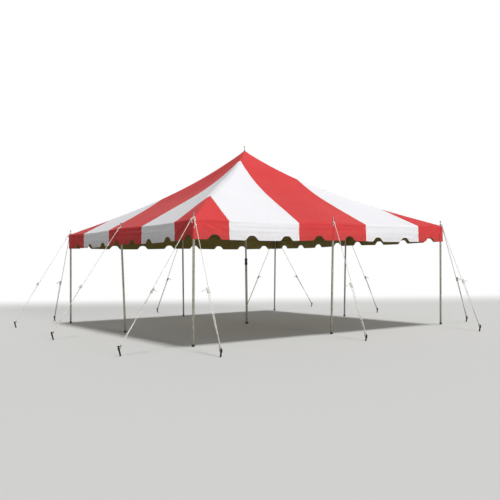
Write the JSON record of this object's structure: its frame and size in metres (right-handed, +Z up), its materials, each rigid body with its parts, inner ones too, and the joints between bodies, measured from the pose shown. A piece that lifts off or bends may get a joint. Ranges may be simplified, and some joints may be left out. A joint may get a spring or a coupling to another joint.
{
  "type": "marquee tent",
  "caption": "Square pole tent with a striped peaked roof, a notched valance, side poles, a centre pole, guy ropes and ground stakes; open on all sides.",
  "frame": {"origin": "on the ground at the foot of the centre pole, under the peak", "axes": "+Z up, +X to the right along the front eave, +Y to the back"},
  "size_m": [9.5315, 9.4356, 4.07],
  "materials": {
    "red_vinyl": "PVC coated polyester, red, soft sheen",
    "white_vinyl": "PVC coated polyester, white, soft sheen",
    "galvanised_tube": "galvanised, weathered matt",
    "rope": "twisted polyester rope, off white",
    "stake_steel": "hot rolled steel, dark and weathered"
  },
  "bodies": {
    "root": {"roof_crown_red": "red_vinyl", "roof_white_front_left": "white_vinyl", "roof_red_front_left": "red_vinyl", "roof_white_front_right": "white_vinyl", "roof_red_front_right": "red_vinyl", "roof_white_back_right": "white_vinyl", "roof_red_back_right": "red_vinyl", "roof_white_back_left": "white_vinyl", "roof_red_back_left": "red_vinyl", "valance_front_white_left": "white_vinyl", "valance_front_red": "red_vinyl", "valance_front_white_right": "white_vinyl", "valance_right_white_left": "white_vinyl", "valance_right_red": "red_vinyl", "valance_right_white_right": "white_vinyl", "valance_back_white_left": "white_vinyl", "valance_back_red": "red_vinyl", "valance_back_white_right": "white_vinyl", "valance_left_white_left": "white_vinyl", "valance_left_red": "red_vinyl", "valance_left_white_right": "white_vinyl", "valance_front_left_red": "red_vinyl", "valance_front_right_red": "red_vinyl", "valance_back_right_red": "red_vinyl", "valance_back_left_red": "red_vinyl", "pole_front_left": "galvanised_tube", "pole_front_right": "galvanised_tube", "pole_back_right": "galvanised_tube", "pole_back_left": "galvanised_tube", "pole_front": "galvanised_tube", "pole_right": "galvanised_tube", "pole_back": "galvanised_tube", "pole_left": "galvanised_tube", "centre_pole_lower": "galvanised_tube", "centre_pole_upper": "galvanised_tube", "guy_rope_front_left": "rope", "guy_rope_front_right": "rope", "guy_rope_back_right": "rope", "guy_rope_back_left": "rope", "guy_rope_front": "rope", "guy_rope_right": "rope", "guy_rope_back": "rope", "guy_rope_left": "rope", "stake_front_left_a": "stake_steel", "stake_front_left_b": "stake_steel", "stake_front_right_a": "stake_steel", "stake_front_right_b": "stake_steel", "stake_back_right_a": "stake_steel", "stake_back_right_b": "stake_steel", "stake_back_left_a": "stake_steel", "stake_back_left_b": "stake_steel", "stake_front": "stake_steel", "stake_right": "stake_steel", "stake_back": "stake_steel", "stake_left": "stake_steel"}
  },
  "joints": []
}
